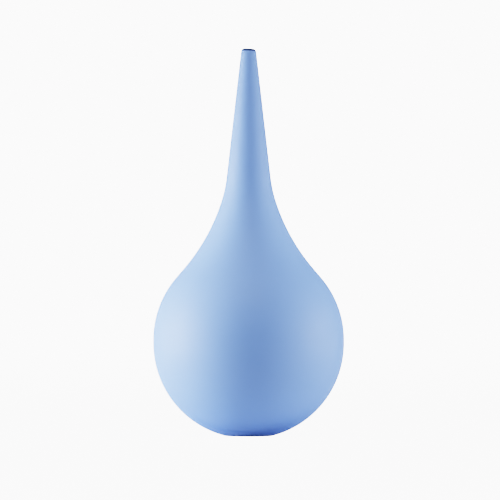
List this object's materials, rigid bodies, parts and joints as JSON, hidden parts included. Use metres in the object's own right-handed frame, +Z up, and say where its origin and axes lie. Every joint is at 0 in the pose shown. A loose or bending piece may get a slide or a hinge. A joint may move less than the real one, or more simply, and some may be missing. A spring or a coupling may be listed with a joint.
{
  "type": "nasal aspirator bulb",
  "caption": "Soft hollow rubber bulb with a flat foot, a flared neck and a long tapered nozzle, squeezed to suck fluid in through the nozzle's tip.",
  "frame": {"origin": "centre of the flat foot that the bulb stands on", "axes": "+Z up the axis through the bulb to the nozzle's tip; -Y is the front; the two squeeze walls face -X and +X"},
  "size_m": [0.0626, 0.0626, 0.127],
  "materials": {
    "soft_rubber": "soft satin light blue, evenly coloured, with a fine moulded grain"
  },
  "bodies": {
    "shell": {"lower_bowl": "soft_rubber", "front_wall": "soft_rubber", "back_wall": "soft_rubber", "shoulder": "soft_rubber", "neck": "soft_rubber"},
    "left_squeeze": {"left_wall": "soft_rubber"},
    "right_squeeze": {"right_wall": "soft_rubber"},
    "base": {"base_pad": "soft_rubber"},
    "stem": {"nozzle_stem": "soft_rubber"},
    "tip": {"nozzle_tip": "soft_rubber"}
  },
  "joints": [
    {"name": "left_squeeze_in", "type": "slide", "parent": "shell", "child": "left_squeeze", "axis": [1, 0, 0], "range_m": [0, 0.012], "stiffness_N_per_m": 1000},
    {"name": "right_squeeze_in", "type": "slide", "parent": "shell", "child": "right_squeeze", "axis": [-1, 0, 0], "range_m": [0, 0.012], "stiffness_N_per_m": 1000},
    {"name": "base_press_up", "type": "slide", "parent": "shell", "child": "base", "axis": [0, 0, 1], "range_m": [0, 0.006], "stiffness_N_per_m": 1500},
    {"name": "nozzle_bend", "type": "hinge", "parent": "shell", "child": "stem", "pos_m": [0, 0, 0.0872], "axis": [0, 1, 0], "range_deg": [-18, 18], "stiffness_Nm_per_rad": 0.4},
    {"name": "tip_bend", "type": "hinge", "parent": "stem", "child": "tip", "pos_m": [0, 0, 0.1083], "axis": [0, 1, 0], "range_deg": [-18, 18], "stiffness_Nm_per_rad": 0.12}
  ]
}
